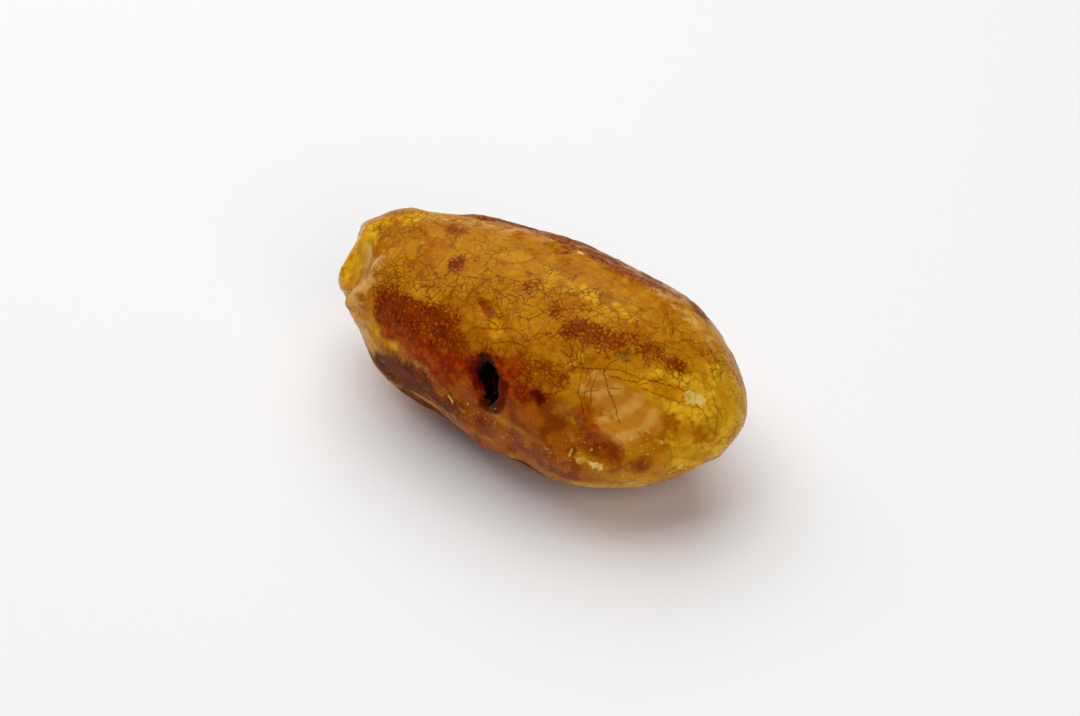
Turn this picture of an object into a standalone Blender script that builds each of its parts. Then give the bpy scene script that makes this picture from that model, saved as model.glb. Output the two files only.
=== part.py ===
"""Raw amber nugget: one water-worn lump of fossil resin, lying on the small flat spot that it rests on.

Metres, +Z up. The origin is the middle of the lump's outline on the surface that it rests on. +X runs along
the lump to its broad end, -Y is the side with the pit, and +Y is the steep side.
"""

import math

import bmesh
import bpy
from mathutils import Vector, noise

MM = 0.001

# The plain form that the lump is worn from: an ellipsoid whose sides swell and shrink along its length.
HALF_LENGTH = 30.3 * MM
AXIS_HEIGHT = 12.9 * MM
# Place along the length from the narrow end (-1) to the broad end (1), then how far the lump reaches there
# to the front, back, top and bottom, in millimetres, before the ends close.
SWELLS = (
    (-1.0, 12.7, 14.3, 12.8, 11.7),
    (-0.5, 13.3, 14.8, 13.3, 12.6),
    (0.0, 14.3, 15.9, 14.1, 13.3),
    (0.5, 16.2, 17.0, 14.7, 14.0),
    (1.0, 14.7, 15.3, 13.1, 12.7),
)
# Place along the length, then how far the middle line of the lump bends there to the back and upwards.
LIFTS = (
    (-1.0, 0.2, 1.1),
    (-0.4, -0.8, 0.1),
    (0.4, -0.7, 0.2),
    (1.0, -0.2, 0.7),
)
# How blunt the narrow and the broad end are: 2 is an ellipsoid's end.
NARROW_BLUNTNESS = 2.7
BROAD_BLUNTNESS = 2.2
# So close to the very end, the fullness no longer changes.
POLE = 0.999999

# Worn or broken faces: a point on each face, its outward direction, how softly it meets the rest, and how
# far from the point the wear reaches, in millimetres.
FACES = (
    ("steep back", (1.5, 8.2, 25.0), (0.10, 0.60, 0.79), 0.15, 60.0),
    ("dark face under the ledge", (-8.0, -14.2, 12.6), (-0.20, -0.92, -0.34), 0.10, 11.0),
    ("tip of the narrow end", (-27.8, -4.2, 15.8), (-0.90, -0.36, 0.26), 0.12, 7.0),
    ("side of the narrow end", (-23.5, -7.5, 11.6), (-0.60, -0.75, -0.22), 0.12, 11.0),
    ("underside of the broad end", (21.0, -4.9, 3.2), (0.55, -0.20, -0.80), 0.40, 14.0),
    ("slab of the broad end", (23.6, -5.9, 20.4), (0.56, -0.46, 0.69), 0.08, 6.0),
    ("back of the narrow end", (-18.0, 9.3, 11.0), (-0.45, 0.88, -0.10), 0.35, 12.0),
    ("low back", (8.0, 12.3, 6.2), (0.12, 0.78, -0.60), 0.50, 16.0),
)

# Lumps and hollows: the middle, the radius and the height of each, in millimetres.
SWELLINGS = (
    ("upper knob of the narrow end", (-24.0, 1.6, 23.0), 5.5, 0.6),
    ("lower knob of the narrow end", (-27.0, -6.2, 13.6), 4.5, 0.3),
    ("notch between the knobs", (-28.2, -2.0, 18.8), 3.0, -1.5),
    ("dip behind the upper knob", (-19.6, 7.8, 21.6), 4.4, -2.5),
    ("hump of the back", (-12.0, 7.1, 23.6), 5.0, 0.3),
    ("first rough hollow of the crest", (-4.3, 2.0, 26.5), 3.2, -0.35),
    ("second rough hollow of the crest", (0.3, 3.5, 26.3), 3.0, -0.30),
    ("lobe under the ledge", (3.3, -14.1, 7.0), 3.0, 0.5),
    ("shoulder over the pit", (4.0, -11.4, 22.5), 6.0, 0.35),
    ("dent of the front", (8.0, -14.7, 11.0), 5.5, -0.45),
    ("hollow of the top", (-11.5, -7.4, 24.5), 5.0, -0.30),
    ("hollow of the low back", (-3.0, 12.6, 8.5), 7.0, -0.60),
    ("hollow of the low front", (-7.0, -12.7, 5.6), 6.0, -0.7),
)

# Raised lines: both ends, the half width and the height, in millimetres.
RIDGES = (
    ("rim of the narrow end, upper part", (-15.5, -3.9, 24.6), (-18.6, -7.7, 22.4), 2.6, 0.5),
    ("rim of the narrow end, lower part", (-18.6, -7.7, 22.4), (-22.4, -9.9, 16.5), 2.6, 0.5),
    ("ledge under the red patch", (-11.5, -14.1, 16.8), (-4.5, -15.3, 15.4), 1.3, 0.30),
    ("crest, narrow part", (-15.0, 0.1, 25.2), (-5.0, 3.1, 26.3), 2.0, 0.25),
    ("crest, broad part", (-1.0, 4.6, 26.2), (15.0, 5.1, 24.8), 2.0, 0.25),
)

# Chips that broke out in shells: the middle of each, the radius of the shell and how deep it goes, in
# millimetres.
CHIPS = (
    ("hollow face of the narrow end", (-23.6, -6.1, 19.4), 10.0, 0.8),
    ("upper shell of the broken corner", (19.3, -11.6, 19.6), 26.0, 0.9),
    ("left shell of the broken corner", (14.7, -15.0, 16.4), 14.0, 0.6),
    ("low shell of the broken corner", (18.8, -13.8, 14.0), 12.0, 0.7),
    ("right shell of the broken corner", (23.6, -9.8, 16.4), 22.0, 0.6),
    ("pale chip of the broad end", (26.9, -3.7, 19.4), 10.0, 0.35),
    ("nick in the end of the outline", (28.4, -2.5, 9.6), 4.0, 0.5),
    ("three-sided nick of the top", (-0.7, -9.3, 24.7), 6.0, 0.3),
    ("chip of the back", (12.0, 12.6, 15.0), 14.0, 0.7),
    ("chip of the narrow end's back", (-24.0, 4.6, 12.0), 9.0, 0.5),
)

# How far a shell strays from a true ball, and the size of its waves.
SHELL_STRAY = 0.25 * MM
SHELL_WAVE = 3.0 * MM

# Slow waves of the whole skin: the size and the height of each, in millimetres.
WAVES = ((9.0, 0.22), (3.6, 0.10))

# The pit in the front: a black hole with a ragged rim, longer than it is wide.
PIT_MIDDLE = (2.6, -14.6, 18.0)
PIT_INWARD = (0.03, 0.92, -0.38)
PIT_LONG_WAY = (0.35, -0.18, -0.92)
PIT_HALF_LENGTH = 3.1 * MM
PIT_HALF_WIDTH = 1.75 * MM
PIT_DEPTH = 2.6 * MM
PIT_WALL_SHARE = 0.60      # how much of the way to the middle the walls take
PIT_RAGGEDNESS = 0.22
PIT_RIM_WAVES = 2.0
PIT_RIM_LEVEL = 0.2        # which slice of the noise the rim follows

# Where the mesh is finer: the middle and the reach in millimetres, and how many times it is halved there.
FINE_SPOTS = (
    ((2.6, -14.6, 18.0), 5.0, 2),
    ((19.0, -11.9, 17.0), 8.5, 1),
    ((26.9, -3.9, 19.4), 2.5, 2),
    ((-22.0, -5.9, 20.0), 6.0, 1),
    ((-8.0, -14.7, 15.5), 5.0, 1),
    ((-0.7, -9.3, 24.7), 2.4, 1),
)

# The sphere that the form starts from: 5 levels give edges of about 1.5 mm.
SPHERE_LEVELS = 5

RESIN_COLOUR = (0.42, 0.17, 0.01, 1.0)
RESIN_ROUGHNESS = 0.25
RESIN_IOR = 1.54


def mm(numbers):
    """A point given in millimetres."""
    return Vector(numbers) * MM


def ease(share):
    """0 to 1 with a smooth start and end."""
    share = max(0.0, min(1.0, share))
    return share * share * (3 - 2 * share)


def read_along(table, along):
    """The numbers of a table of stations, in metres, at a place from -1 to 1 along the length."""
    for low, high in zip(table, table[1:]):
        if along <= high[0]:
            blend = ease((along - low[0]) / (high[0] - low[0]))
            return [MM * (a + (b - a) * blend) for a, b in zip(low[1:], high[1:])]
    return [MM * number for number in table[-1][1:]]


def plain_form(point):
    """Where a point of the unit sphere goes on the plain form."""
    front, back, top, bottom = read_along(SWELLS, point.x)
    bend_back, bend_up = read_along(LIFTS, point.x)
    bluntness = BROAD_BLUNTNESS if point.x > 0 else NARROW_BLUNTNESS
    along = abs(point.x)
    if along < POLE:
        fuller = math.sqrt((1 - along ** bluntness) / (1 - along * along))
    else:
        fuller = math.sqrt(bluntness / 2)
    across = (back if point.y > 0 else front) * fuller
    height = (top if point.z > 0 else bottom) * fuller
    return Vector((
        HALF_LENGTH * point.x,
        across * point.y + bend_back,
        height * point.z + bend_up + AXIS_HEIGHT,
    ))


def fade(distance, reach):
    """1 close to a form and 0 beyond its reach, with a smooth edge over the outer third."""
    return ease((reach - distance) / (reach / 3))


def wear_face(point, middle, outward, softness, reach):
    """Grinds a point that stands proud of a face back to it, with a soft edge."""
    middle = mm(middle)
    outward = Vector(outward).normalized()
    softness *= MM
    proud = (point - middle).dot(outward) / softness
    ground = softness * (max(proud, 0.0) + math.log1p(math.exp(-abs(proud))))
    return point - outward * ground * fade((point - middle).length, reach * MM)


def swelling_height(point, middle, radius, height):
    """How far a swelling raises a point, or a hollow lowers it."""
    share = (point - mm(middle)).length / (radius * MM)
    return height * MM * (1 - share * share) ** 2 if share < 1 else 0.0


def ridge_height(point, start, end, half_width, height):
    """How far a raised line lifts a point."""
    start, end = mm(start), mm(end)
    way = end - start
    share = max(0.0, min(1.0, (point - start).dot(way) / way.length_squared))
    aside = (point - start - way * share).length / (half_width * MM)
    return height * MM * (1 - aside * aside) ** 2 if aside < 1 else 0.0


def skin_height(point):
    """How far the lumps, hollows, raised lines and waves move the skin out at a point."""
    height = sum(swelling_height(point, *form[1:]) for form in SWELLINGS)
    height += sum(ridge_height(point, *form[1:]) for form in RIDGES)
    for size, depth in WAVES:
        height += depth * MM * noise.noise(point / (size * MM))
    return height


def nearest_vert(lump, point):
    return min(lump.verts, key=lambda vert: (vert.co - point).length_squared)


def break_chip(lump, middle, radius, depth):
    """Moves the points that a chip's shell takes in down onto the shell, which leaves a crisp rim."""
    start = nearest_vert(lump, mm(middle))
    centre = start.co + start.normal * (radius - depth) * MM
    for vert in lump.verts:
        away = vert.co - centre
        reach = radius * MM + SHELL_STRAY * noise.noise(vert.co / SHELL_WAVE)
        if away.length < reach:
            vert.co = centre + away.normalized() * reach


def sink_pit(lump):
    """Sinks the points that are inside the ragged rim of the pit."""
    start = nearest_vert(lump, mm(PIT_MIDDLE)).co.copy()
    inward = Vector(PIT_INWARD).normalized()
    long_way = Vector(PIT_LONG_WAY)
    long_way = (long_way - inward * long_way.dot(inward)).normalized()
    side_way = inward.cross(long_way)
    for vert in lump.verts:
        away = vert.co - start
        if away.length > 2 * PIT_HALF_LENGTH:
            continue
        along = away.dot(long_way) / PIT_HALF_LENGTH
        aside = away.dot(side_way) / PIT_HALF_WIDTH
        angle = math.atan2(aside, along)
        round_rim = Vector((math.cos(angle), math.sin(angle), PIT_RIM_LEVEL)) * PIT_RIM_WAVES
        ragged = 1 + PIT_RAGGEDNESS * noise.noise(round_rim)
        share = math.hypot(along, aside) / ragged
        vert.co = vert.co + inward * PIT_DEPTH * ease((1 - share) / PIT_WALL_SHARE)


def refine_fine_spots(sphere):
    """Halves the edges of the sphere where the small forms will be."""
    for step in range(max(times for _, _, times in FINE_SPOTS)):
        spots = [(mm(middle), reach * MM) for middle, reach, times in FINE_SPOTS if times > step]
        near = set()
        for vert in sphere.verts:
            place = plain_form(vert.co)
            if any((place - middle).length < reach for middle, reach in spots):
                near.add(vert)
        edges = [edge for edge in sphere.edges if edge.verts[0] in near and edge.verts[1] in near]
        bmesh.ops.subdivide_edges(sphere, edges=edges, cuts=1, use_grid_fill=True)
        bmesh.ops.triangulate(sphere, faces=sphere.faces)
        for vert in sphere.verts:
            vert.co.normalize()


def shape_lump(lump):
    for vert in lump.verts:
        vert.co = plain_form(vert.co)
        for _, *face in FACES:
            vert.co = wear_face(vert.co, *face)
    lump.normal_update()
    for vert in lump.verts:
        vert.co = vert.co + vert.normal * skin_height(vert.co)
    lump.normal_update()
    for _, *chip in CHIPS:
        break_chip(lump, *chip)
    sink_pit(lump)


def wear_resting_spot(lump):
    """Wears the lump flat at the height of the surface that it rests on."""
    for vert in lump.verts:
        vert.co.z = max(vert.co.z, 0.0)


def centre_lump(lump):
    """Moves the lump so that the middle of its outline is at the origin."""
    xs = [vert.co.x for vert in lump.verts]
    ys = [vert.co.y for vert in lump.verts]
    offset = Vector((-(min(xs) + max(xs)) / 2, -(min(ys) + max(ys)) / 2, 0))
    bmesh.ops.translate(lump, verts=lump.verts, vec=offset)


def resin_material():
    material = bpy.data.materials.new("amber_resin")
    material.use_nodes = True
    shader = material.node_tree.nodes["Principled BSDF"]
    shader.inputs["Base Color"].default_value = RESIN_COLOUR
    shader.inputs["Roughness"].default_value = RESIN_ROUGHNESS
    shader.inputs["Metallic"].default_value = 0.0
    shader.inputs["IOR"].default_value = RESIN_IOR
    return material


def add_amber():
    lump = bmesh.new()
    bmesh.ops.create_icosphere(lump, subdivisions=SPHERE_LEVELS, radius=1.0)
    refine_fine_spots(lump)
    shape_lump(lump)
    wear_resting_spot(lump)
    centre_lump(lump)
    mesh = bpy.data.meshes.new("amber_nugget")
    lump.to_mesh(mesh)
    lump.free()
    mesh.shade_smooth()
    mesh.materials.append(resin_material())
    return bpy.data.objects.new("amber_nugget", mesh)


def main():
    for old in list(bpy.data.objects):
        bpy.data.objects.remove(old, do_unlink=True)
    collection = bpy.data.collections.new("raw_amber")
    bpy.context.scene.collection.children.link(collection)
    collection.objects.link(add_amber())


main()
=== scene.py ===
# %% [markdown]
# Raw amber is fossil resin. Waves and sand wear a lump of it into soft knobs and hollows, air gives it a
# crust that crazes into plates a millimetre or two wide, and blows break shells out of it that look like
# fresh glass. This lesson takes the plain solid of such a lump and gives it that skin. The solid is loaded
# first, because every later step depends on where it is.

# %% Load the imported lump
import math

import bmesh
import bpy
import numpy as np
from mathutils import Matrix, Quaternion, Vector, kdtree, noise


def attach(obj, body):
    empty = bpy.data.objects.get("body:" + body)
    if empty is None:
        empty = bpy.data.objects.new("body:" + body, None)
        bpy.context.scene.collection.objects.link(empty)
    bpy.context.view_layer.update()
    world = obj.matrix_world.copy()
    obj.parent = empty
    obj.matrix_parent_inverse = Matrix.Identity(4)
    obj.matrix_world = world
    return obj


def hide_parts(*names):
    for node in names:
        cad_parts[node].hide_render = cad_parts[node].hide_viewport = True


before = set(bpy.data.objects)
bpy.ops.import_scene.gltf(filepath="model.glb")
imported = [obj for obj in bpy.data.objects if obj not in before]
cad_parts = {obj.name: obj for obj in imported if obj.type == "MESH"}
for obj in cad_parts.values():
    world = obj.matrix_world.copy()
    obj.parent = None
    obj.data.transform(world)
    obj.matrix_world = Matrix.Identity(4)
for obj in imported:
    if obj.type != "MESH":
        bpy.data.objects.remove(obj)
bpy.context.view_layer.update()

MM = 0.001
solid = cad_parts["amber_nugget"]

# %% [markdown]
# The solid has about 7500 flat triangles, too few for fine chips. It is copied and welded, because the
# frame's own mesh is loose triangles that must stay as they are. Subdivision rounds the facets, and a voxel
# remesh then spreads even quads over the whole lump, so that each square millimetre can take the same detail.
# Another way would be to sculpt by hand, but a script that can be run again is easier to correct.

# %% Copy, weld and refine the lump
WELD = 0.001 * MM
VOXEL = 0.27 * MM
ROUNDING_LEVELS = 2

def settle(piece):
    """Makes the piece's modifiers part of its mesh."""
    graph = bpy.context.evaluated_depsgraph_get()
    mesh = bpy.data.meshes.new_from_object(piece.evaluated_get(graph))
    piece.modifiers.clear()
    piece.data = mesh

form = bmesh.new()
form.from_mesh(solid.data)
bmesh.ops.remove_doubles(form, verts=form.verts, dist=WELD)
skin_mesh = bpy.data.meshes.new("amber_skin")
form.to_mesh(skin_mesh)
form.free()
skin = bpy.data.objects.new("amber_skin", skin_mesh)
bpy.context.scene.collection.objects.link(skin)

rounding = skin.modifiers.new("rounding", "SUBSURF")
rounding.levels = ROUNDING_LEVELS
rounding.render_levels = ROUNDING_LEVELS
evening = skin.modifiers.new("evening", "REMESH")
evening.mode = "VOXEL"
evening.voxel_size = VOXEL
settle(skin)
print("skin faces", len(skin.data.polygons))

# %% [markdown]
# The voxels leave faint steps, which a light smoothing takes away. Only a few rounds are used, so that the
# rim of the pit and the edges of the broken corner stay crisp.

# %% Smooth the voxel steps
SMOOTHING_ROUNDS = 4
SMOOTHING_SHARE = 0.5

form = bmesh.new()
form.from_mesh(skin.data)
for _ in range(SMOOTHING_ROUNDS):
    bmesh.ops.smooth_vert(
        form, verts=form.verts, factor=SMOOTHING_SHARE, use_axis_x=True, use_axis_y=True, use_axis_z=True
    )
form.to_mesh(skin.data)
form.free()
print("smoothed", len(skin.data.vertices), "points")

# %% [markdown]
# From here on the skin is moved point by point, as sculpting does. Three small tools are enough: read and
# write the points, tell how near each point is to a named place, and give a random height that changes slowly
# over a known number of millimetres.

# %% Tools for moving the skin
def read_points():
    points = np.empty(len(skin.data.vertices) * 3, np.float32)
    skin.data.vertices.foreach_get("co", points)
    return points.reshape(-1, 3).astype(np.float64)

def read_normals():
    normals = np.empty(len(skin.data.vertices) * 3, np.float32)
    skin.data.vertex_normals.foreach_get("vector", normals)
    return normals.reshape(-1, 3).astype(np.float64)

def write_points(points):
    skin.data.vertices.foreach_set("co", points.astype(np.float32).ravel())
    skin.data.update()

def ease(share):
    """0 to 1 with a smooth start and end."""
    share = np.clip(share, 0.0, 1.0)
    return share * share * (3 - 2 * share)

def nearness(points, start, end, radius):
    """1 on the line from start to end, and 0 beyond the radius, all in millimetres."""
    start, end = np.array(start) * MM, np.array(end) * MM
    way = end - start
    length = max(way @ way, WELD * WELD)
    share = np.clip((points - start) @ way / length, 0, 1)
    aside = np.linalg.norm(points - start - share[:, None] * way, axis=1)
    return ease(1 - aside / (radius * MM))

def slow_noise(points, size, slice_at=0.0):
    """Noise from about -1 to 1 whose waves are about size millimetres long."""
    shift = Vector((slice_at, slice_at, slice_at))
    return np.array([noise.noise(Vector(point) + shift) for point in points / (size * MM)])

points = read_points()
print("points", len(points))

# %% [markdown]
# The outline has small forms that the rounding took off: the two knobs of the narrow end with the notch
# between them, a dip behind, a lobe under the front and a nick low on the broad end. Each is a soft push
# along the normals.

# %% Bring back the small forms of the outline
# The middle, the reach and the height, in millimetres. A hollow has a height under 0.
PUSHES = {
    "upper knob": ((-28.0, 0.4, 19.5), 3.4, 0.55),
    "front of the upper knob": ((-26.2, -1.6, 21.4), 2.6, 0.25),
    "notch": ((-28.6, -2.6, 17.6), 2.0, -0.55),
    "lower knob": ((-27.2, -6.0, 15.4), 3.8, 0.40),
    "side of the narrow end": ((-22.8, -10.0, 14.8), 3.6, 0.45),
    "dip": ((-20.7, 7.9, 19.6), 3.0, -0.60),
    "hollow under the dark face": ((-9.4, -9.8, 4.0), 4.5, -0.30),
    "lobe": ((0.6, -13.1, 6.7), 2.6, 0.50),
    "hollow beside the lobe": ((6.8, -13.1, 5.6), 3.8, -0.40),
    "nick of the end": ((29.4, 0.9, 11.2), 3.0, -0.50),
    "low nick of the end": ((26.9, -3.2, 8.2), 3.2, -0.40),
}
normals = read_normals()
for name, (middle, reach, height) in PUSHES.items():
    share = nearness(points, middle, middle, reach)
    points += normals * (share * height * MM)[:, None]
    print(name, "moved", int((share > 0).sum()), "points")
write_points(points)

# %% [markdown]
# Then the shells. Resin has no grain, so a blow breaks out a piece along part of a ball, and the shock leaves
# ripples round the place that was hit. Each shell here is a ball that just cuts into the skin: the points
# inside it move out to its surface, which leaves a crisp rim by itself. A Boolean would give the same cut,
# but it couldn't carry the ripples.

# %% Break out the shells
# The middle, the ball's radius, the depth, and the height of the ripples, in millimetres.
SHELLS = {
    "hollow face of the narrow end": ((-23.2, -5.9, 20.0), 10.0, 0.30, 0.0),
    "flake edge of the upper knob": ((-23.6, -2.6, 22.7), 2.6, 0.22, 0.0),
    "upper shell of the broken corner": ((18.8, -10.2, 20.4), 12.0, 0.75, 0.05),
    "left shell of the broken corner": ((13.7, -13.8, 17.4), 7.0, 0.65, 0.04),
    "low shell of the broken corner": ((18.0, -12.8, 15.4), 6.0, 0.80, 0.04),
    "right shell of the broken corner": ((22.9, -9.4, 17.2), 9.0, 0.50, 0.04),
    "gold tile": ((19.6, -7.4, 22.6), 8.0, 0.28, 0.0),
    "long slab": ((23.2, -5.4, 20.9), 10.0, 0.30, 0.0),
    "pale chip": ((26.4, -3.1, 19.6), 3.4, 0.28, 0.02),
    "three-sided nick": ((-1.4, -8.7, 24.6), 1.7, 0.40, 0.0),
    "plate beside the nick": ((5.0, -8.5, 25.2), 13.0, 0.20, 0.0),
    "pocket under the nick": ((1.4, -10.2, 23.9), 4.5, 0.40, 0.0),
    "plate over the corner": ((11.6, -10.0, 23.6), 12.0, 0.20, 0.0),
    "first hollow of the crest": ((-4.3, 2.9, 26.5), 4.0, 0.34, 0.0),
    "second hollow of the crest": ((0.3, 4.2, 26.3), 3.6, 0.32, 0.0),
    "hollow of the last crest": ((5.0, 5.2, 26.2), 3.0, 0.20, 0.0),
    "flake low on the front": ((16.6, -14.0, 12.0), 3.2, 0.40, 0.0),
    "flake under the pit": ((-0.2, -14.8, 13.6), 3.0, 0.34, 0.0),
    "flake of the low front": ((6.4, -14.4, 9.0), 4.0, 0.30, 0.0),
    "chip of the back": ((9.0, 13.5, 16.0), 16.0, 0.60, 0.05),
    "chip of the low back": ((-9.0, 13.0, 12.0), 7.0, 0.40, 0.02),
}
RIPPLE_LENGTH = 0.9 * MM
# The place that was hit lies beside the shell, by these shares of the ball's radius.
HIT_ASIDE = np.array((0.5, 0.0, 0.6))
# How long the waves of a shell's rim are, in millimetres, and how high as a share of its depth.
STRAY_SIZE = 2.2
STRAY_SHARE = 0.35

def break_shell(points, middle, radius, depth, ripple):
    """Moves the points inside a ball that cuts into the skin out to that ball, and says how many they are."""
    normals = read_normals()
    middle = np.array(middle) * MM
    nearest = np.argmin(((points - middle) ** 2).sum(axis=1))
    centre = points[nearest] + normals[nearest] * (radius - depth) * MM
    away = points - centre
    distance = np.linalg.norm(away, axis=1)
    hit = points[nearest] + HIT_ASIDE * radius * MM
    waves = np.sin(np.linalg.norm(points - hit, axis=1) / RIPPLE_LENGTH * 2 * math.pi)
    stray = slow_noise(points, STRAY_SIZE) * depth * STRAY_SHARE + waves * ripple
    reach = (radius + stray) * MM
    inside = distance < reach
    points[inside] = centre + away[inside] / distance[inside, None] * reach[inside, None]
    return int(inside.sum())

for name, shell in SHELLS.items():
    moved = break_shell(points, *shell)
    print(name, "moved", moved, "points")
write_points(points)

# %% [markdown]
# The crust next. It shrinks as it dries and cracks into plates, and each plate tilts or lifts by a few
# hundredths of a millimetre. Voronoi cells give such plates: the distance to the border between the two
# nearest cell middles sinks a narrow groove, and a random height for each cell lifts the plate.

# %% Raise the plates of the crust
PLATE_SIZE = 2.6 * MM
PLATE_LIFT = 0.035 * MM
GROOVE_DEPTH = 0.055 * MM
GROOVE_WIDTH = 0.28 * MM
# The borders bend by a share of a plate, in waves of which there are this many to a plate.
BORDER_BEND = 0.35
BORDER_WAVES = 1.3
# Any number that isn't whole gives neighbouring plates heights of their own.
HEIGHT_MIX = 7.31
# The vector noise that bends the borders starts from the clock, unless it gets a seed.
BORDER_SEED = 12
noise.seed_set(BORDER_SEED)

def plate_heights(points, size):
    """How high each point's plate stands, from -1 to 1, and how far the point is from the plate's border."""
    heights = np.empty(len(points))
    borders = np.empty(len(points))
    for index, point in enumerate(points / size):
        place = Vector(point)
        place += noise.noise_vector(place * BORDER_WAVES) * BORDER_BEND
        _, middles = noise.voronoi(place)
        way = middles[1] - middles[0]
        borders[index] = ((middles[0] + middles[1]) / 2 - place).dot(way.normalized()) * size
        heights[index] = noise.cell(middles[0] * HEIGHT_MIX) * 2 - 1
    return heights, borders

# Where the crust is broken away there are no plates: at two shells of the broken corner, the hollow face of the
# narrow end, the pit and the chip of the back. Each place is a line and a radius, in millimetres.
BARE = (
    ((19.0, -10.7, 18.6), (14.0, -13.6, 17.0), 6.0),
    ((17.0, -12.5, 15.0), (22.0, -10.0, 16.0), 5.0),
    ((-25.0, -4.0, 20.5), (-21.5, -6.0, 21.5), 4.0),
    ((2.6, -14.6, 18.0), (2.6, -14.6, 16.0), 3.6),
    ((8.0, 13.6, 16.6), (10.0, 13.4, 15.4), 5.0),
)
points, normals = read_points(), read_normals()
bare = np.max([nearness(points, *place) for place in BARE], axis=0)
plates, borders = plate_heights(points, PLATE_SIZE)
crust = 1 - ease(2 * bare)  # none is left halfway out from the middle of a bare place
groove = 1 - ease(borders / GROOVE_WIDTH)
relief = crust * (plates * PLATE_LIFT - groove * GROOVE_DEPTH)
for name, numbers in (("plate", crust * (0.5 + 0.5 * plates)), ("groove", crust * groove)):
    attribute = skin.data.attributes.new(name, "FLOAT", "POINT")
    attribute.data.foreach_set("value", numbers.astype(np.float32))
print("plates stand from", round(relief.min() / MM, 3), "to", round(relief.max() / MM, 3), "mm")

# %% [markdown]
# Rough places: the hollows of the crest, the back edge and the low front are gnawed, while the rest is worn
# smooth. Noise at three sizes, made stronger at those places, gives both. Nothing may go under the surface
# that the lump rests on, so the flat spot stays flat.

# %% Roughen the worn places
ROUGH = (
    ((-8.0, 3.5, 26.0), (2.0, 4.6, 26.2), 3.2),
    ((2.0, 7.0, 25.0), (14.0, 6.5, 25.0), 3.0),
    ((-4.0, -15.0, 12.0), (3.0, -15.2, 11.0), 3.5),
    ((14.0, -14.5, 11.0), (22.0, -10.5, 9.5), 3.5),
    ((-13.0, -12.5, 15.8), (-5.0, -14.6, 14.8), 1.6),
    ((2.6, -14.0, 18.0), (3.2, -14.4, 15.5), 2.6),
)
# How long the waves are, how high they are where the skin is smooth and how much higher where it is rough, in
# millimetres, and which slice of the noise they take.
WAVES = (
    (1.80, 0.050, 0.13, 0.0),
    (0.80, 0.020, 0.07, 5.0),
    (0.45, 0.012, 0.00, 9.0),
)
rough = np.max([nearness(points, *place) for place in ROUGH], axis=0)
for size, smooth_height, rough_height, slice_at in WAVES:
    relief += (smooth_height + rough_height * rough) * MM * slow_noise(points, size, slice_at)
points += normals * relief[:, None]
points[:, 2] = np.maximum(points[:, 2], 0)
write_points(points)
skin.data.shade_smooth()
print("triangles", 2 * len(skin.data.polygons))
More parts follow.
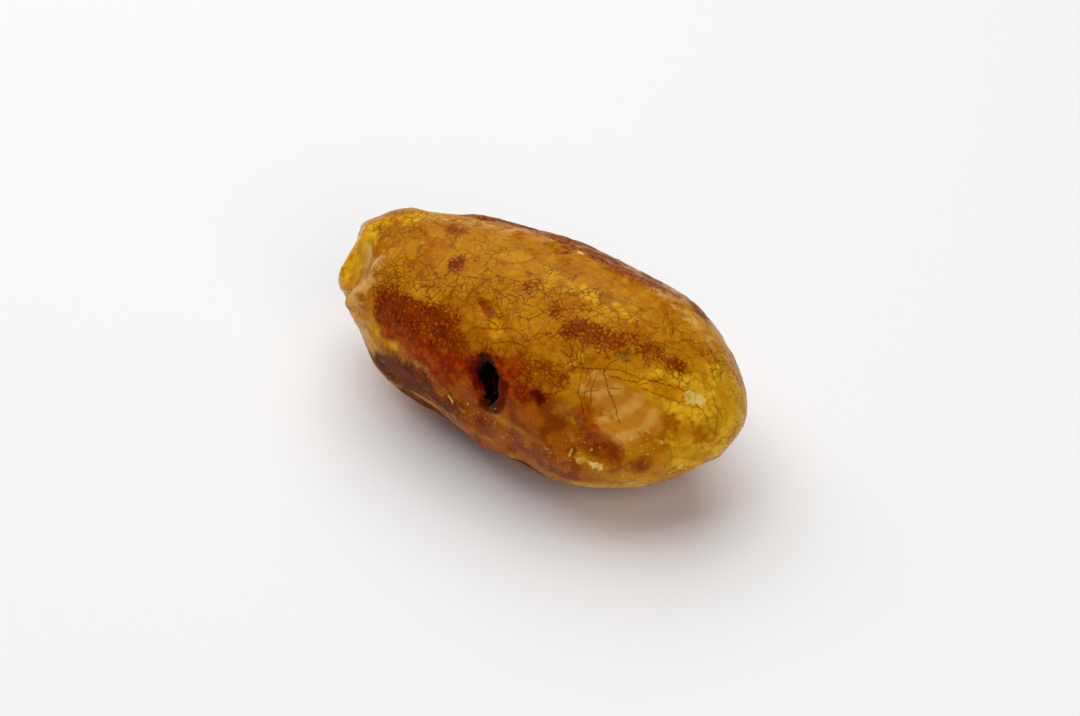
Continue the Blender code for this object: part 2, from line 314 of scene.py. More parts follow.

# %% [markdown]
# The colours of a lump don't follow its shape alone: iron has left stains in patches, and the fresh breaks show
# the resin under the crust. Light and shade are painted into the colours as well: yellow where light comes
# through the thin ends and on the lit top, a pale sheen on ridges, rims and the ripples of the break, glints on
# splinters, and shade on the low front, the underside, under the fan and in the pit. So each colour gets a
# mask, a number at each point that says how much of it there is. A mask is a list of places on the lump, each
# a line with a radius and a strength, in millimetres. Painting by hand would do as well, but the places would
# then have no names. Noise at three sizes makes the edge of each mask ragged, because no stain in resin ends
# in a line.

# %% Say where each colour is
# Before its places, each mask has the size of its ragged edge in millimetres, how ragged it is, and the
# strengths where the colour begins and is full.
MASKS = {
    "rust": (2.4, 0.28, 0.02, 1.10, (
        # The large patch at the left of the front.
        ((-16.2, -10.6, 19.8), (-13.0, -11.0, 20.6), 4.8, 0.95),
        ((-13.0, -11.0, 20.6), (-6.0, -11.6, 21.8), 5.2, 0.95),
        ((-9.6, -11.6, 20.6), (-3.5, -12.6, 20.6), 4.0, 0.95),
        ((-14.0, -6.6, 23.2), (-7.0, -8.6, 23.8), 3.4, 0.45),
        # Spots on the top.
        ((-8.9, -4.5, 25.5), (-8.6, -4.8, 25.4), 2.6, 0.90),
        ((-7.1, -3.3, 26.4), (-6.9, -3.5, 26.3), 1.8, 0.55),
        ((1.6, -4.2, 26.7), (2.2, -4.6, 26.6), 2.2, 0.60),
        ((6.3, -5.5, 26.5), (6.9, -5.9, 26.3), 2.4, 0.75),
        # The long patch above the broken corner.
        ((10.4, -6.6, 25.6), (14.3, -6.2, 25.2), 4.2, 0.80),
        ((14.3, -6.2, 25.2), (18.6, -4.2, 24.4), 4.0, 0.78),
        ((18.6, -4.2, 24.4), (22.9, -2.2, 22.6), 3.4, 0.62),
        # Between the pit and the corner.
        ((8.4, -12.6, 21.2), (12.0, -11.6, 21.8), 3.4, 0.70),
        ((9.8, -13.9, 19.5), (10.2, -13.9, 19.3), 2.6, 0.95),
        # The hollows of the crest and the edge behind it.
        ((-6.0, 3.6, 26.2), (1.5, 4.2, 26.3), 2.8, 0.50),
        ((0.0, 6.0, 25.6), (11.0, 5.6, 25.8), 3.0, 0.75),
        ((4.0, 9.0, 23.4), (7.0, 9.6, 22.4), 2.6, 0.60),
        ((-7.0, 8.0, 23.6), (-4.0, 9.4, 22.4), 2.4, 0.55),
        # The back.
        ((-10.0, 12.4, 16.0), (-2.0, 14.2, 12.0), 4.5, 0.75),
        ((13.0, 11.6, 14.0), (19.0, 9.6, 12.0), 3.8, 0.7),
        ((-19.0, 8.0, 17.0), (-16.0, 9.6, 13.0), 2.6, 0.6),
    )),
    "ember": (2.8, 0.35, 0.02, 0.95, (
        # From the large rust patch to the pit, and round it.
        ((-9.0, -13.2, 17.6), (-2.5, -13.8, 18.2), 4.8, 1.0),
        ((-15.0, -11.8, 18.2), (-9.0, -12.6, 18.6), 4.2, 1.0),
        ((-2.5, -13.6, 18.4), (4.6, -13.4, 20.2), 3.8, 0.9),
        ((1.4, -14.2, 20.0), (0.6, -14.8, 16.6), 2.6, 1.0),
        ((5.0, -14.0, 19.6), (8.0, -14.0, 19.2), 3.4, 0.9),
        ((-16.2, -10.8, 19.4), (-6.0, -11.8, 21.4), 3.8, 0.85),
        ((2.0, -13.2, 21.0), (7.6, -13.0, 20.8), 3.4, 0.8),
        # The back.
        ((-6.0, 13.4, 14.0), (0.0, 14.4, 11.0), 3.2, 0.7),
    )),
    "brown": (3.6, 0.35, 0.00, 0.95, (
        # The worn front face, dark brown of its own and darker with painted shade, and painted shade under it.
        ((-15.0, -11.8, 10.5), (-5.0, -14.2, 13.0), 6.2, 1.25),
        ((-4.0, -14.8, 12.0), (1.0, -14.8, 12.0), 5.0, 1.0),
        ((-12.0, -10.0, 4.0), (8.0, -12.0, 4.0), 6.5, 1.2),
        # Painted shade low on the back.
        ((-16.0, 9.0, 5.6), (6.0, 12.4, 3.0), 7.4, 0.85),
    )),
    # Russet is partly a real stain, beside the pit and on the crest, and partly painted shade on the low front,
    # the shells of the corner, the low back and the dip.
    "russet": (3.0, 0.30, 0.00, 0.80, (
        # Beside the pit and low on the front.
        ((-4.0, -14.6, 15.6), (8.0, -14.4, 19.0), 5.0, 1.0),
        ((0.7, -13.2, 20.8), (6.0, -12.0, 22.6), 2.6, 0.6),
        ((4.0, -14.8, 17.4), (11.4, -14.9, 16.0), 5.2, 1.0),
        ((1.0, -14.8, 12.0), (15.0, -14.4, 10.0), 5.4, 0.95),
        ((-8.0, -13.6, 8.6), (4.0, -13.8, 7.4), 3.4, 0.9),
        # The left and the low shell of the broken corner.
        ((11.8, -14.4, 18.4), (14.4, -14.6, 14.6), 4.6, 1.0),
        ((16.0, -13.4, 14.6), (22.4, -10.0, 12.2), 3.4, 0.8),
        ((19.0, -12.0, 11.0), (12.0, -13.6, 6.0), 4.0, 0.5),
        # The crest.
        ((-13.0, 0.6, 25.4), (-6.0, 2.2, 26.2), 4.4, 0.45),
        # The back and the dip.
        ((8.0, 13.2, 9.0), (20.0, 8.6, 7.0), 4.5, 0.8),
        ((-22.0, 6.0, 20.0), (-14.0, 10.0, 17.0), 3.4, 0.6),
    )),
    "shaded": (1.6, 0.25, 0.00, 0.95, (
        # Under the fan of the broken corner.
        ((15.8, -12.9, 18.2), (16.9, -13.4, 15.6), 3.3, 0.95),
        ((17.6, -12.9, 15.4), (20.4, -11.6, 13.6), 3.0, 0.75),
        # The nick.
        ((-2.8, -8.1, 24.7), (-1.6, -8.6, 24.4), 0.8, 1.4),
        ((-1.6, -8.6, 24.3), (-0.8, -9.0, 24.1), 1.1, 1.4),
        # The top of the left shell.
        ((14.6, -13.6, 19.0), (15.6, -13.0, 18.4), 1.2, 0.8),
    )),
    # Yellow is painted light: it stands for light coming through the thin ends, the thin place and the low rim,
    # and for the lit top.
    "yellow": (3.0, 0.30, 0.00, 0.90, (
        # The narrow end.
        ((-28.0, -3.0, 16.0), (-25.6, -2.6, 21.6), 4.8, 0.80),
        ((-27.0, -6.0, 15.0), (-23.8, -5.0, 20.6), 4.4, 0.70),
        ((-24.0, -0.4, 22.8), (-19.0, 1.6, 24.2), 4.2, 0.55),
        # Painted light through a thin place under the large rust patch.
        ((-16.8, -11.6, 16.4), (-13.0, -12.6, 16.0), 2.1, 0.9),
        # The broad end, with the slab and the low rim.
        ((26.0, -3.4, 19.6), (29.6, -0.5, 15.0), 5.4, 1.0),
        ((26.4, 1.0, 20.0), (28.8, 3.4, 15.0), 4.8, 0.75),
        ((26.6, -6.6, 14.4), (28.6, -3.0, 11.4), 5.0, 0.75),
        ((24.0, -8.0, 15.0), (25.6, -7.6, 12.6), 3.0, 0.5),
        ((21.6, -5.2, 22.2), (25.6, -2.2, 20.8), 3.2, 0.85),
        ((22.0, -7.2, 20.6), (24.6, -5.6, 19.0), 2.4, 0.5),
        ((15.0, -12.6, 6.4), (24.4, -8.2, 7.6), 2.6, 0.8),
        # Painted light on the back and the top.
        ((-27.0, 6.0, 15.0), (-24.0, 4.0, 8.0), 5.0, 0.7),
        ((27.0, 4.0, 8.0), (24.0, 8.0, 12.0), 5.0, 0.6),
        ((3.0, -2.0, 27.1), (14.0, -1.0, 26.4), 4.6, 0.45),
    )),
    # Tan is a painted sheen: the highlights along the ridges, the crest, the edges and the low rims.
    "tan": (1.6, 0.40, 0.00, 1.15, (
        # Painted sheen on the ridge and the side of the narrow end.
        ((-19.2, -6.8, 22.8), (-19.6, -8.8, 21.0), 3.0, 0.68),
        ((-19.8, -9.0, 20.6), (-23.2, -8.5, 15.6), 2.8, 1.0),
        ((-22.6, -9.8, 17.6), (-17.6, -12.6, 13.2), 3.2, 1.0),
        # Painted sheen on the crest line and the edge behind the top.
        ((-17.0, 2.6, 24.8), (-7.0, 5.4, 25.5), 2.0, 0.62),
        ((14.5, 5.2, 25.2), (21.0, 5.2, 22.9), 2.8, 0.65),
        ((21.0, 5.2, 22.9), (27.0, 5.2, 18.4), 2.8, 0.50),
        # Painted highlights on the ledges of the front and the low rim.
        ((-11.0, -13.4, 14.6), (-6.3, -13.9, 11.9), 1.0, 0.45),
        ((-18.2, -12.2, 13.6), (-12.6, -11.6, 8.8), 1.0, 0.50),
        ((13.0, -13.0, 4.4), (23.0, -8.6, 6.2), 2.2, 1.2),
    )),
    "scratched": (2.6, 0.55, 0.00, 1.00, (
        # The ground strip behind the crest.
        ((-15.0, 7.0, 23.9), (-3.0, 8.0, 24.4), 3.4, 0.75),
        ((-3.0, 8.0, 24.4), (13.0, 7.6, 24.8), 5.2, 1.0),
        ((13.0, 7.6, 24.8), (19.0, 8.8, 21.6), 4.6, 0.7),
        ((2.0, 9.6, 22.8), (10.0, 10.6, 21.4), 4.0, 0.55),
    )),
    "fresh": (2.4, 0.25, 0.00, 0.85, (
        # The fan of the broken corner.
        ((16.6, -10.4, 21.6), (21.5, -9.2, 18.6), 4.2, 1.0),
        ((20.0, -10.2, 18.4), (23.4, -8.8, 17.6), 3.0, 1.0),
        ((12.8, -13.6, 18.4), (15.0, -14.2, 15.4), 2.2, 0.40),
        ((18.4, -12.2, 17.4), (21.0, -10.6, 16.2), 2.6, 0.9),
        # The chip of the back.
        ((8.0, 13.6, 16.6), (10.0, 13.4, 15.4), 4.6, 0.7),
    )),
    "tile": (0.8, 0.15, 0.35, 0.50, (
        # The gold tile, the slab and the pocket under the nick.
        ((18.8, -8.0, 22.8), (20.2, -6.9, 22.4), 1.5, 1.0),
        ((20.6, -6.7, 22.0), (24.8, -4.2, 20.2), 1.9, 1.0),
        ((0.6, -10.0, 24.0), (1.4, -10.8, 23.4), 1.8, 0.8),
    )),
    "pale": (0.8, 0.5, 0.25, 0.55, (
        # A painted glint on the pale chip of the broad end.
        ((25.5, -3.7, 19.8), (26.7, -3.0, 19.2), 1.3, 1.3),
        # Painted glints on splinters of the broken corner.
        ((22.0, -10.0, 17.6), (22.8, -9.6, 17.3), 0.6, 0.9),
        ((23.8, -9.2, 16.9), (24.6, -8.6, 16.6), 0.5, 0.8),
        ((15.7, -14.2, 15.2), (15.3, -14.8, 13.0), 0.55, 1.0),
        ((16.4, -14.0, 12.2), (18.6, -13.3, 11.8), 0.9, 0.9),
        ((20.8, -10.8, 8.6), (21.6, -10.2, 8.4), 0.6, 0.9),
        ((24.6, -8.4, 15.2), (24.9, -8.3, 13.6), 0.45, 0.9),
        ((20.4, -11.0, 13.2), (21.6, -10.6, 13.8), 0.5, 0.8),
        # Painted glints on a splintered star low on the end.
        ((26.2, -7.2, 11.2), (24.6, -8.2, 12.2), 0.40, 0.8),
        ((26.2, -7.2, 11.2), (27.4, -6.0, 12.8), 0.40, 0.8),
        ((26.2, -7.2, 11.2), (27.2, -5.8, 10.2), 0.40, 0.8),
        ((26.2, -7.2, 11.2), (25.2, -7.8, 9.6), 0.40, 0.8),
        # Painted glints on the flake of the narrow end, the crest and the front.
        ((-26.6, -2.6, 21.3), (-26.0, -3.6, 20.4), 0.7, 0.9),
        ((2.6, 5.2, 26.2), (3.3, 5.2, 26.2), 0.7, 0.9),
        ((4.4, -9.2, 24.9), (4.9, -8.5, 25.2), 0.45, 0.8),
        ((-1.6, -15.0, 12.9), (-0.6, -15.1, 12.3), 0.45, 0.8),
        ((-3.1, -14.8, 13.5), (-2.5, -14.9, 12.9), 0.35, 0.8),
        ((0.2, -15.1, 11.6), (0.5, -15.1, 11.0), 0.35, 0.8),
        ((-12.7, -11.1, 20.7), (-12.4, -11.2, 20.4), 0.30, 0.9),
        ((-0.6, -8.6, 24.7), (-0.2, -9.2, 24.4), 0.25, 0.6),
    )),
    "scorched": (1.2, 0.25, 0.05, 0.80, (
        # Round the pit.
        ((1.4, -13.9, 20.2), (3.2, -14.4, 15.6), 3.0, 1.1),
        ((4.6, -14.2, 18.8), (4.6, -14.8, 16.2), 1.9, 0.9),
        ((0.0, -13.6, 19.8), (1.2, -14.3, 17.4), 2.2, 0.85),
        ((3.8, -14.0, 19.0), (4.0, -14.8, 15.4), 2.2, 0.90),
        # A dark spot beside the corner.
        ((9.8, -13.9, 19.5), (10.2, -14.0, 19.2), 1.8, 0.8),
    )),
    "smoky": (1.4, 0.30, 0.10, 0.90, (
        # Grey smudges of the top, the front and the end.
        ((16.6, -6.6, 24.2), (17.8, -6.0, 24.2), 1.5, 0.8),
        ((10.4, -0.8, 26.7), (13.6, 0.2, 26.6), 1.0, 0.8),
        ((-8.9, -3.8, 25.9), (-8.4, -3.8, 25.9), 0.6, 1.0),
        ((-15.0, -12.6, 14.6), (-13.0, -13.2, 13.8), 1.6, 0.8),
        ((28.0, -4.4, 17.4), (28.6, -3.0, 16.0), 1.8, 0.6),
    )),
    "flecked": (2.0, 0.50, 0.10, 0.60, (
        # Painted glints of splinters under the pit, low in the corner and at the end.
        ((-4.0, -15.0, 12.6), (0.8, -15.0, 12.6), 3.4, 1.0),
        ((-10.0, -13.8, 15.4), (-5.0, -14.8, 14.4), 2.2, 0.8),
        ((15.0, -14.0, 12.0), (22.0, -10.4, 10.4), 4.0, 1.0),
        ((22.0, -9.8, 15.6), (27.0, -6.4, 12.0), 4.0, 1.0),
        ((5.0, -15.0, 12.0), (12.0, -15.0, 10.0), 4.0, 0.6),
        ((25.0, 3.0, 20.0), (28.0, 3.0, 16.0), 4.0, 0.5),
        # Scratches of the strip behind the crest.
        ((1.0, 6.6, 25.4), (11.0, 6.4, 25.4), 2.8, 0.7),
    )),
    "pit": (1.2, 0.35, 0.20, 0.45, (
        # The rim of the pit, and the bottom behind it, painted near black: dark matter, deepened by painted
        # shade in the hole.
        ((1.9, -13.6, 19.6), (3.2, -14.0, 15.8), 2.1, 1.0),
        ((2.2, -11.8, 18.4), (3.3, -11.6, 14.6), 3.2, 2.0),
    )),
    "crazed": (3.0, 0.8, 0.10, 0.60, (
        # The top, from the narrow end to the broad one.
        ((-22.0, -0.5, 24.0), (-8.0, -1.0, 26.0), 7.0, 0.9),
        ((-16.0, -8.0, 22.0), (0.0, -8.0, 25.0), 7.0, 1.0),
        ((0.0, -4.0, 26.5), (16.0, -4.0, 25.5), 7.0, 0.9),
        ((12.0, -8.0, 24.5), (23.0, -2.0, 22.5), 5.0, 1.0),
        ((4.0, -11.6, 22.8), (10.0, -13.0, 20.6), 4.0, 0.9),
        ((24.0, 2.0, 20.0), (28.0, 2.0, 16.0), 6.0, 0.6),
        # The back.
        ((-14.0, 9.0, 20.0), (14.0, 12.0, 18.0), 8.0, 0.8),
    )),
    "bare": (1.2, 0.3, 0.10, 0.50, tuple((*place, 1.0) for place in BARE)),
}

OCTAVES = (1, 2, 4)

def paint_masks(points):
    """Writes each mask as an attribute of the skin, one number a point."""
    painted = {}
    for name, (size, raggedness, begins, full, places) in MASKS.items():
        # The length of the name picks the slice of the noise, so that few masks have the same ragged edge.
        strength = np.max([nearness(points, *place[:3]) * place[3] for place in places], axis=0)
        for octave in OCTAVES:
            strength += raggedness * slow_noise(points, size / octave, len(name)) / octave * (strength > 0)
        painted[name] = ease((strength - begins) / (full - begins))
        mask = skin.data.attributes.new(name, "FLOAT", "POINT")
        mask.data.foreach_set("value", painted[name].astype(np.float32))
        print(name, "covers", round(100 * float((painted[name] > 0.5).mean()), 1), "percent of the points")
    return painted

painted = paint_masks(points)

# %% [markdown]
# Long cracks run across the broken corner and between the gold plates, and short crooked ones lie all over
# the crazed top. Each is a sheet inside the resin, seen as a thin line where it reaches the skin. Every point
# of the skin near a crack gets its distance to that line, with a sign for its side. Between two points that
# number goes through zero just where the line is, so the line stays sharp, although the mesh is coarser than
# it is. Cracks that cross each other go to different sets, because one number can't stand for two lines.

# %% Lay out the cracks
# The turns of each long crack, in millimetres. First those of the broken corner and of the end.
CRACKS = (
    ((14.0, -10.4, 22.8), (14.4, -11.8, 20.6), (16.1, -12.7, 18.5)),
    ((15.6, -9.5, 23.0), (15.8, -10.8, 21.2), (16.4, -11.9, 19.0)),
    ((16.5, -9.2, 22.9), (18.0, -10.2, 20.6), (19.8, -10.9, 17.7)),
    ((16.8, -9.2, 22.7), (20.1, -7.6, 22.0)),
    ((17.8, -7.9, 23.3), (20.2, -6.9, 22.4)),
    ((20.1, -7.6, 22.0), (20.6, -6.2, 22.6)),
    ((20.4, -6.6, 22.4), (25.6, -3.4, 20.2)),
    ((20.8, -7.4, 21.4), (24.8, -5.0, 19.4)),
    ((14.9, -11.4, 20.8), (16.4, -10.9, 21.2)),
    ((17.6, -9.8, 21.4), (18.8, -9.4, 21.4)),
    ((10.3, -9.7, 24.1), (14.0, -9.9, 23.2)),
    ((13.7, -10.2, 23.1), (17.8, -7.9, 23.3)),
    ((27.3, -1.4, 19.3), (28.6, -2.2, 17.6), (29.2, -3.5, 15.5)),
    ((-24.6, -2.6, 22.2), (-23.6, -1.4, 23.2)),
    # Those of the golden top, from the narrow end to the broad one.
    ((-14.0, -5.8, 24.3), (-11.3, -6.0, 24.6), (-11.2, -4.2, 25.4)),
    ((-6.8, -6.2, 25.5), (-3.6, -5.5, 26.1), (-2.7, -4.5, 26.4), (-4.9, -4.1, 26.4)),
    ((-3.6, -5.5, 26.1), (-4.5, -7.7, 25.0), (-4.6, -8.4, 24.6)),
    ((-2.7, -4.5, 26.4), (0.4, -4.2, 26.6), (1.7, -4.3, 26.6)),
    ((-1.0, -6.5, 25.8), (1.3, -7.1, 25.7), (1.8, -6.6, 26.0)),
    ((-4.6, -8.4, 24.6), (-2.4, -7.7, 25.0), (-0.9, -8.3, 24.5), (0.8, -9.2, 24.3)),
    ((3.3, -8.3, 25.2), (4.5, -8.3, 25.3), (5.8, -6.7, 26.0), (4.7, -6.5, 26.1), (2.6, -6.9, 25.9)),
    ((5.8, -6.7, 26.0), (8.4, -7.0, 25.8), (11.0, -7.4, 25.3)),
    ((5.8, -10.6, 23.8), (6.7, -9.2, 24.7), (6.6, -7.8, 25.5)),
    ((6.7, -9.2, 24.7), (8.3, -8.6, 24.9)),
    ((-0.7, -10.8, 23.1), (2.9, -9.9, 24.3), (4.6, -10.1, 24.2), (5.4, -10.4, 24.0)),
    ((1.4, -12.0, 22.2), (3.4, -11.2, 23.2), (5.3, -11.1, 23.5)),
    ((4.9, -4.6, 26.7), (6.5, -4.2, 26.8), (8.1, -5.3, 26.4)),
    ((0.5, -0.1, 27.1), (3.2, -0.4, 27.3), (3.6, 2.2, 27.1)),
    ((10.1, -7.3, 25.5), (8.1, -9.2, 24.6)),
    ((10.7, -1.7, 26.8), (13.5, -1.9, 26.3), (14.6, -3.4, 25.6)),
    ((20.6, 0.8, 24.0), (23.3, 1.7, 22.5), (25.3, 1.4, 21.1)),
)
# How far from a crack the skin's points know of it, how far it may be drawn, and how it fades beyond its ends.
CRACK_REACH = 0.60 * MM
CRACK_DRAWN = 0.40 * MM
CRACK_TAPER = 0.35 * MM
CRACK_SETS = 3
CRACK_STRENGTH = 0.85
# Each hairline has 2 to 4 straight pieces, and strays from its way by up to 0.8 radians at each turn.
HAIRLINES = 190
HAIRLINE_PIECES = (2, 5)
HAIRLINE_STEP = (0.8, 1.7)
HAIRLINE_TURN = 0.8
HAIRLINE_STRENGTH = (0.45, 0.95)

finder = kdtree.KDTree(len(points))
for index, point in enumerate(points):
    finder.insert(point, index)
finder.balance()
normals = read_normals()
aside = np.full((len(points), CRACK_SETS), CRACK_REACH)
drawn = np.zeros((len(points), CRACK_SETS))

def lay_crack(line, crack_set, strength):
    """Writes how far the skin's points are from a crooked line, and how strongly the line shows there."""
    for start, end in zip(line, line[1:]):
        length = max((end - start).length, WELD)
        along = (end - start) / length
        _, nearest, _ = finder.find((start + end) / 2)
        across = along.cross(Vector(normals[nearest])).normalized()
        for point, index, _ in finder.find_range((start + end) / 2, length / 2 + CRACK_REACH):
            offset = point - start
            ahead = offset.dot(along)
            beyond = max(-ahead, ahead - length, 0.0)
            distance = math.hypot(offset.dot(across), beyond)
            if distance < abs(aside[index, crack_set]):
                aside[index, crack_set] = math.copysign(distance, offset.dot(across))
                drawn[index, crack_set] = strength * max(1 - beyond / CRACK_TAPER, 0) * (distance < CRACK_DRAWN)

chance = np.random.default_rng(12)
crazed_points = np.flatnonzero((painted["crazed"] > 0.5) & (painted["bare"] < 0.2))
for number in range(HAIRLINES):
    index = int(chance.choice(crazed_points))
    line = [Vector(points[index])]
    heading = Vector(chance.normal(size=3))
    for _ in range(int(chance.integers(*HAIRLINE_PIECES))):
        normal = Vector(normals[index])
        heading = (heading - normal * heading.dot(normal)).normalized()
        heading.rotate(Quaternion(normal, chance.uniform(-HAIRLINE_TURN, HAIRLINE_TURN)))
        spot, index, _ = finder.find(line[-1] + heading * (chance.uniform(*HAIRLINE_STEP) * MM))
        line.append(spot.copy())
    lay_crack(line, number % CRACK_SETS, chance.uniform(*HAIRLINE_STRENGTH))
for number, turns in enumerate(CRACKS):
    lay_crack([Vector(turn) * MM for turn in turns], number % CRACK_SETS, CRACK_STRENGTH)

for name, numbers in (("crack_aside", aside), ("crack_drawn", drawn)):
    attribute = skin.data.attributes.new(name, "FLOAT_VECTOR", "POINT")
    attribute.data.foreach_set("vector", numbers.astype(np.float32).ravel())
print("long cracks", len(CRACKS), "hairlines", HAIRLINES, "points beside", int((drawn > 0).any(axis=1).sum()))

# %% [markdown]
# The finish. Amber is a resin with an index of refraction of 1.54. It lets light in, takes most of the blue
# and much of the green out of it on the way, and gives the rest back, so thick parts look orange and thin
# ones yellow. The crust is satin, not polished. Two shaders make this: Principled, with part of its light
# passing through, and Volume Absorption for the depth. Their plain values stay on the sockets. Where the
# sockets of a node share a name, their numbers stand for them: a Map Range has its value at 0, the range that
# it comes from at 1 and 2 and the one it goes to at 3 and 4, and a Mix of colours has its share at 0 and the
# colours at 6 and 7.

# %% Colours and a way to add nodes
def linear(hex_colour):
    """An sRGB hex colour as the linear colour that shaders take."""
    channels = [int(hex_colour[at:at + 2], 16) / 255 for at in (1, 3, 5)]
    return tuple(c / 12.92 if c <= 0.04045 else ((c + 0.055) / 1.055) ** 2.4 for c in channels) + (1.0,)

resin = bpy.data.materials.new("weathered_amber")
resin.use_nodes = True
tree = resin.node_tree
tree.nodes.clear()

def add(kind, inputs, out=0, **settings):
    """Adds a node with its settings, links or values, and gives back the output that is asked for."""
    node = tree.nodes.new(kind)
    for name, value in settings.items():
        setattr(node, name, value)
    for socket, value in inputs.items():
        if isinstance(value, bpy.types.NodeSocket):
            tree.links.new(value, node.inputs[socket])
        else:
            node.inputs[socket].default_value = value
    return node.outputs[out] if node.outputs else None

print("gold in linear light", [round(c, 3) for c in linear("#cc860e")])

# %% [markdown]
# All patterns are three-dimensional and read Object coordinates, so they run through the lump as they do in
# the real one, and nothing stretches over the sides. A slow noise first bends the coordinates, so that the
# net of cracks curves. Four noises, of clouds, patches, mottles and grains, are made once and then used all
# over, because every noise slows the picture down. Their values lie round 0.5, mostly between 0.3 and 0.7, so
# the ranges below begin and end there.

# %% Bent coordinates and the four noises
BEND_SIZE = 2.4 * MM
BEND = 1.7 * MM
NOISE_SIZES = (6.0, 2.2, 1.1, 0.4)
straight = add("ShaderNodeTexCoord", {}, "Object")
bend = add("ShaderNodeTexNoise", {"Vector": straight, "Scale": 1 / BEND_SIZE, "Detail": 2.0}, "Color")
bend = add("ShaderNodeVectorMath", {0: bend, 1: (0.5, 0.5, 0.5)}, operation="SUBTRACT")
bent = add("ShaderNodeVectorMath", {0: bend, 1: (BEND, BEND, BEND), 2: straight}, operation="MULTIPLY_ADD")

cloud, patch, mottle, grain = (
    add("ShaderNodeTexNoise", {"Vector": straight, "Scale": 1 / (size * MM), "Detail": 2.0})
    for size in NOISE_SIZES
)
print("bend in mm", BEND / MM, "sizes of the noises in mm", NOISE_SIZES)

# %% [markdown]
# The crazing has two sizes: the grooves between the plates of the crust, which are 2.6 mm across, and a net
# with cells of about 1 mm over the top. The real cracks are 0.05 mm wide or less. They are drawn about 0.1 mm
# wide, so that they show in a picture of the whole lump. Noise breaks the net, because real crazing isn't
# closed. The crooked cracks laid out above are drawn over it, and a fine noise makes them sway.

# %% The net of cracks and the crooked cracks
NET_CELL = 1.0 * MM
NET_WIDTH = 0.075 * MM
CRACK_WIDTH = 0.10 * MM
CRACK_SWAY = 0.45 * MM
FULL_SHARE = 0.3  # of a crack's width from its middle, where it is at its darkest

crazed = add("ShaderNodeAttribute", {}, "Fac", attribute_name="crazed")
some_patches = add("ShaderNodeMapRange", {0: patch, 1: 0.39, 2: 0.53, 4: 0.90})
crazed_patches = add("ShaderNodeMath", {0: crazed, 1: some_patches}, operation="MULTIPLY")
net = add("ShaderNodeTexVoronoi", {"Vector": bent, "Scale": 1 / NET_CELL}, feature="DISTANCE_TO_EDGE")
net = add(
    "ShaderNodeMapRange",
    {0: net, 1: FULL_SHARE * NET_WIDTH / NET_CELL, 2: NET_WIDTH / NET_CELL, 3: 1.0, 4: 0.0},
    interpolation_type="SMOOTHSTEP",
)
net = add("ShaderNodeMath", {0: net, 1: crazed_patches}, operation="MULTIPLY")
groove_of = add("ShaderNodeAttribute", {}, "Fac", attribute_name="groove")
plate_edges = add(
    "ShaderNodeMapRange", {0: groove_of, 1: 0.55, 2: 1.0, 4: 0.40}, interpolation_type="SMOOTHSTEP"
)
cracks = add("ShaderNodeMath", {0: plate_edges, 1: net}, operation="MAXIMUM")
bare_share = add("ShaderNodeAttribute", {}, "Fac", attribute_name="bare")
crust_share = add("ShaderNodeMath", {0: 1.0, 1: bare_share}, operation="SUBTRACT")
cracks = add("ShaderNodeMath", {0: cracks, 1: crust_share}, operation="MULTIPLY")

aside_of = add("ShaderNodeAttribute", {}, "Vector", attribute_name="crack_aside")
drawn_of = add("ShaderNodeAttribute", {}, "Vector", attribute_name="crack_drawn")
sway = add("ShaderNodeMath", {0: grain, 1: 0.5}, operation="SUBTRACT")
sway = add("ShaderNodeMath", {0: sway, 1: CRACK_SWAY}, operation="MULTIPLY")
sway = add("ShaderNodeCombineXYZ", {0: sway, 1: sway, 2: sway})
aside_of = add("ShaderNodeVectorMath", {0: aside_of, 1: sway}, operation="ADD")
aside_of = add("ShaderNodeVectorMath", {0: aside_of}, operation="ABSOLUTE")
lines = add(
    "ShaderNodeMapRange",
    {6: aside_of, 7: (FULL_SHARE * CRACK_WIDTH,) * 3, 8: (CRACK_WIDTH,) * 3, 9: (1.0,) * 3, 10: (0.0,) * 3},
    "Vector", data_type="FLOAT_VECTOR", interpolation_type="SMOOTHSTEP",
)
lines = add("ShaderNodeVectorMath", {0: lines, 1: drawn_of}, operation="MULTIPLY")
lines = add("ShaderNodeVectorMath", {0: lines}, "Value", operation="LENGTH")
cracks = add("ShaderNodeMath", {0: cracks, 1: lines}, operation="MAXIMUM", use_clamp=True)
print("nodes up to the cracks", len(tree.nodes))

# %% [markdown]
# The colours are laid over each other from the oldest to the freshest: gold resin; yellow where it is thin and
# on the top, which is painted light; the scratched strip; brown and russet, partly stains and partly painted
# shade low down; ember and rust where iron stains it; then the fresh places with the painted sheen of their
# ripples, painted shade under the fan and in the nick, and painted sheen on ridges and rims; and last the
# cracks, painted glints and the pit. The edge of each mask is broken once more, by noise finer than the mesh.

# %% Tools for laying colours
# What breaks the edges is noise round 0.
breaking = add("ShaderNodeMath", {0: grain, 1: 0.8, 2: mottle}, operation="MULTIPLY_ADD")
breaking = add("ShaderNodeMath", {0: breaking, 1: 0.9}, operation="SUBTRACT")

def mask_share(name):
    """How much of a mask's colour there is, with its edge broken by noise; masks hold stains and painted light
    and shade.
    """
    mask = add("ShaderNodeAttribute", {}, "Fac", attribute_name=name)
    broken = add("ShaderNodeMath", {0: mask, 1: breaking}, operation="ADD")
    return add("ShaderNodeMapRange", {0: broken, 1: 0.26, 2: 0.95}, interpolation_type="SMOOTHSTEP")

def tones(dark, light, by, low, high):
    """A colour that wanders between two tones, as a noise does between low and high."""
    share = add("ShaderNodeMapRange", {0: by, 1: low, 2: high}, interpolation_type="SMOOTHSTEP")
    return add("ShaderNodeMix", {0: share, 6: linear(dark), 7: linear(light)}, 2, data_type="RGBA")

